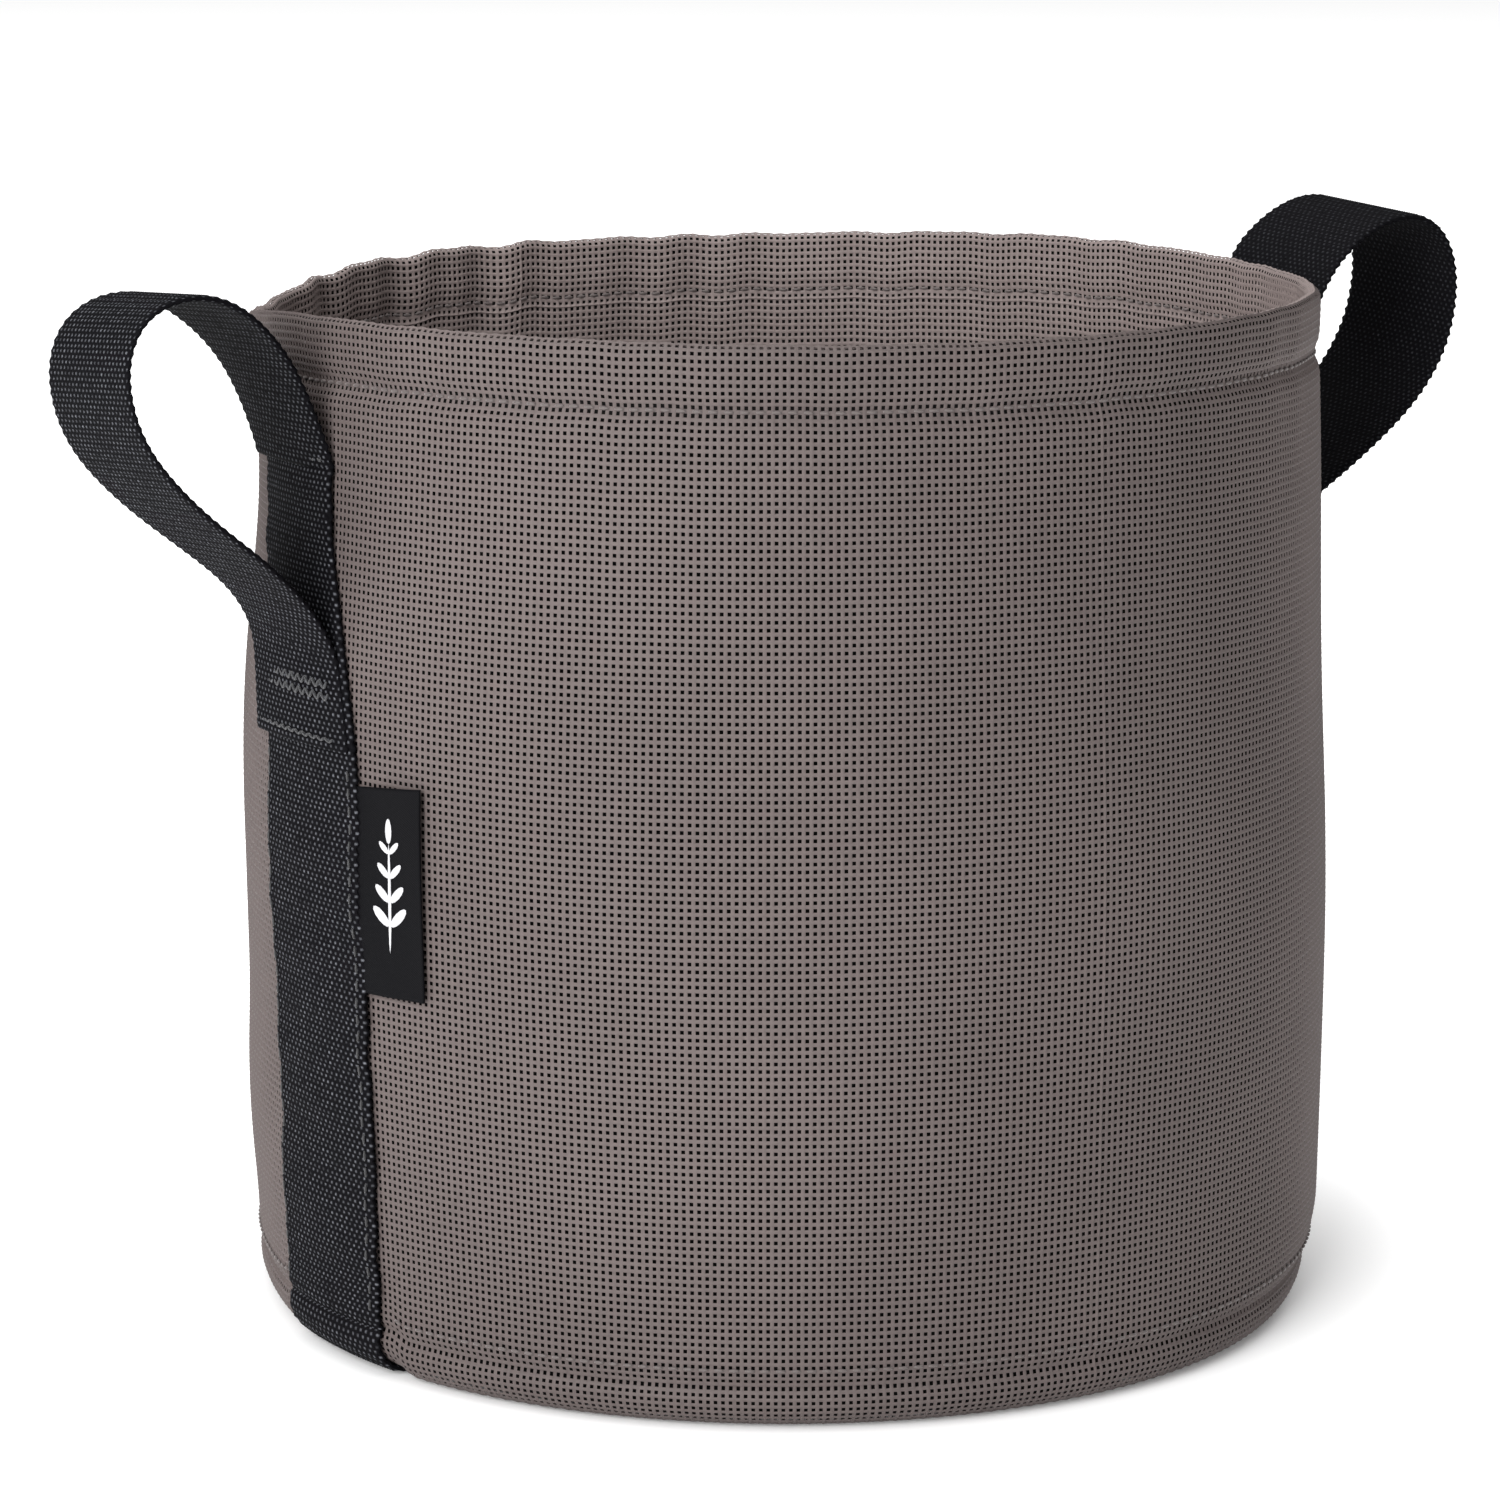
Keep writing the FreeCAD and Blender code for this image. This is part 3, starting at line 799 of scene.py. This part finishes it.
def tab_sewing(name, side, node, skew):
    """Zigzag rows across the lapped end and across the root."""
    knots = []
    across = np.linspace(-TAB_REACH, TAB_REACH, TAB_HOLES)
    for height, rise, layers in TAB_ROWS:
        ups = (height + rise * (-1.0) ** np.arange(TAB_HOLES)) * MM
        runs = np.array([run_at_height(up) for up in ups])
        heading = side + (skew if layers > 2 else 0)    # rows through the lap turn with it
        places = strap_on_bag(heading, across, runs, np.full(TAB_HOLES, layers * WEB_THICK + 0.3 * MM))
        for start, end in zip(places, places[1:]):
            knots.append((Vector(start), Vector(end), Vector((start[0], start[1], 0)).normalized()))
    sew(name, knots, TAB_THREAD, 0.6 * MM, node)


# ---- label -----------------------------------------------------------------------------

LABEL_WIDE = 22 * MM
LABEL_TUCK = 4 * MM            # how much of that lies under the strap's edge
LABEL_THICK = 0.6 * MM


def side_label():
    """A folded satin flag that comes out from under the strap's edge, where its root stays put."""
    hinge = Vector(next(j for j in frame["joints"] if j["name"] == "label_flip")["pos_m"])
    first = math.atan2(hinge.y, hinge.x) % (2 * math.pi)
    high = LABEL_HIGH - LABEL_LOW
    mesh = slab_mesh("label", LABEL_WIDE, high, LABEL_THICK, 40, 60)
    flat = read_places(mesh)
    weave_map(mesh, flat, 0.5 * MM, 0.5 * MM)
    write_places(mesh, label_place(flat, first))
    piece = place_piece("side_label_flag", mesh, LABEL, body=None)
    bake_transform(piece)
    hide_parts("side_label")
    label_mark(first, high)


def label_place(flat, first):
    """Lay flat label coordinates against the wall, from the strap's edge outwards."""
    share = flat[:, 0] / LABEL_WIDE + 0.5
    azimuth = first - LABEL_TUCK / BELLY + share * LABEL_WIDE / BELLY
    lift = 0.5 * MM + 0.9 * MM * share**2 + 0.25 * MM * np.sin(share * 5 + flat[:, 1] * 90)
    up = LABEL_LOW + flat[:, 1] + share * (0.8 * MM + 0.035 * flat[:, 1])
    out = wall_reach(up) + unevenness(azimuth, up) + lift + flat[:, 2]
    return round_bag(out, azimuth, up)


def label_mark(first, high):
    """A plain sprig of raised satin stitches: a stem with pairs of leaves."""
    bm = bmesh.new()
    middle = high / 2

    def leaf(x, y, turn, length, width):
        """One long, low bead of satin stitches."""
        spot = Matrix.Translation((x, y, 0)) @ Matrix.Rotation(turn, 4, "Z")
        size = Matrix.Diagonal((length / 2, width / 2, 0.25 * MM, 1))
        bmesh.ops.create_uvsphere(bm, u_segments=12, v_segments=8, radius=1.0, matrix=spot @ size)

    leaf(0, middle - 1 * MM, math.pi / 2, 24 * MM, 0.9 * MM)
    for step in range(4):
        level = middle - 7 * MM + step * 5.2 * MM
        reach = (6.4 - 0.8 * step) * MM
        for way in (-1, 1):
            leaf(way * reach * 0.42, level + reach * 0.3, math.pi / 2 - way * 0.9, reach, reach * 0.36)
    leaf(0, middle + 13.4 * MM, math.pi / 2, 5.5 * MM, 2.1 * MM)
    mesh = finish_mesh(bm, "label_mark")
    flat = read_places(mesh)
    flat += np.array([1.2 * MM, 0, 0.68 * MM])    # onto the flag's face, towards the middle of what shows
    write_places(mesh, label_place(flat, first))
    place_piece("side_label_sprig", mesh, PALE_THREAD, "label_flap")


# ---- stage -----------------------------------------------------------------------------

def stage():
    """A plain, glowing floor whose glow is painted down near the bag as a contact shadow, and an even,
    pale sky.
    """
    bm = bmesh.new()
    bmesh.ops.create_grid(bm, x_segments=1, y_segments=1, size=30)
    floor = bpy.data.objects.new("floor", finish_mesh(bm, "floor", smooth=False))
    bpy.context.scene.collection.objects.link(floor)
    recipe = Recipe("floor")
    where = recipe.places()
    away = recipe.node("ShaderNodeVectorMath", {0: where}, operation="LENGTH").outputs["Value"]
    # painted contact shadow: the floor's glow drops from 0.62 to 0.05 inside 0.17 m of the bag's middle
    glow_with_painted_shadow = recipe.ramp(away, 0.11, 0.17, 0.05, 0.62)
    recipe.feed(glow_with_painted_shadow, recipe.shader.inputs["Emission Strength"])
    floor.data.materials.append(
        recipe.finish(tone(0.86, 0.86, 0.86), 0.9, Specular_IOR_Level=0.1, Emission_Color=tone(1, 1, 1))
    )
    world = bpy.data.worlds.new("sky")
    world.use_nodes = True
    world.node_tree.nodes["Background"].inputs["Color"].default_value = (1, 1, 1, 1)
    world.node_tree.nodes["Background"].inputs["Strength"].default_value = 0.21
    bpy.context.scene.world = world
    bpy.context.scene.view_settings.view_transform = "Standard"


def soft_light(name, place, aim, size, power):
    """A large square lamp that faces a point."""
    light = bpy.data.lights.new(name, "AREA")
    light.size = size
    light.energy = power
    lamp = bpy.data.objects.new(name, light)
    lamp.location = place
    lamp.rotation_euler = (Vector(aim) - Vector(place)).to_track_quat("-Z", "Y").to_euler()
    bpy.context.scene.collection.objects.link(lamp)


def camera():
    """At the bag's front left, a little above the rim."""
    lens = bpy.data.cameras.new("camera")
    lens.lens = 120
    lens.sensor_width = 36
    lens.clip_start = 0.01
    spot = Vector((-0.6136, -0.9632, 0.344))
    sight = bpy.data.objects.new("camera", lens)
    toward = Vector((0, 0, 0.124)) - spot
    aside = toward.cross(Vector((0, 0, 1))).normalized() * -7.8 * MM
    sight.location = spot + aside
    sight.rotation_euler = toward.to_track_quat("-Z", "Y").to_euler()
    bpy.context.scene.collection.objects.link(sight)
    bpy.context.scene.camera = sight


# ---- build -----------------------------------------------------------------------------

camera()
stage()
soft_light("key", (-1.75, -1.0, 0.95), (0, 0, 0.1), 1.4, 56)
soft_light("overhead", (-0.5, 0.5, 4.5), (0, 0, 0), 9.0, 330)

quarter_cloths(OUTER, OUTER_CLOTH, "outer_wall", "cloth")
quarter_cloths(HEM, INNER_CLOTH_PAINTED_LIGHTER, "outer_wall", "hem")
quarter_cloths(INNER, INNER_CLOTH_PAINTED_LIGHTER, "inner_wall", "cloth")
felt_walls()
base_disc("outer_base_cloth", "outer_base", OUTER_BASE_LIFT, OUTER_CLOTH, True)
base_disc("inner_base_cloth", "inner_base", INNER_BASE_LIFT, INNER_CLOTH_PAINTED_LIGHTER, False)
felt_disc()
carry_strap()
for side_name, side, twist, skew in (("left", LEFT, 0.08, -0.011), ("right", RIGHT, 0.07, 0.01)):
    loop = carry_loop(f"handle_loop_{side_name}", side, twist, skew)
    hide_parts(f"handle_loop_{side_name}", f"handle_tab_{side_name}")
    strap_sewing(f"strap_stitches_{side_name}", side, f"strap_thread_{side_name}")
    tab_sewing(f"tab_stitches_{side_name}", side, f"tab_thread_{side_name}", skew)
hem_sewing()
side_label()
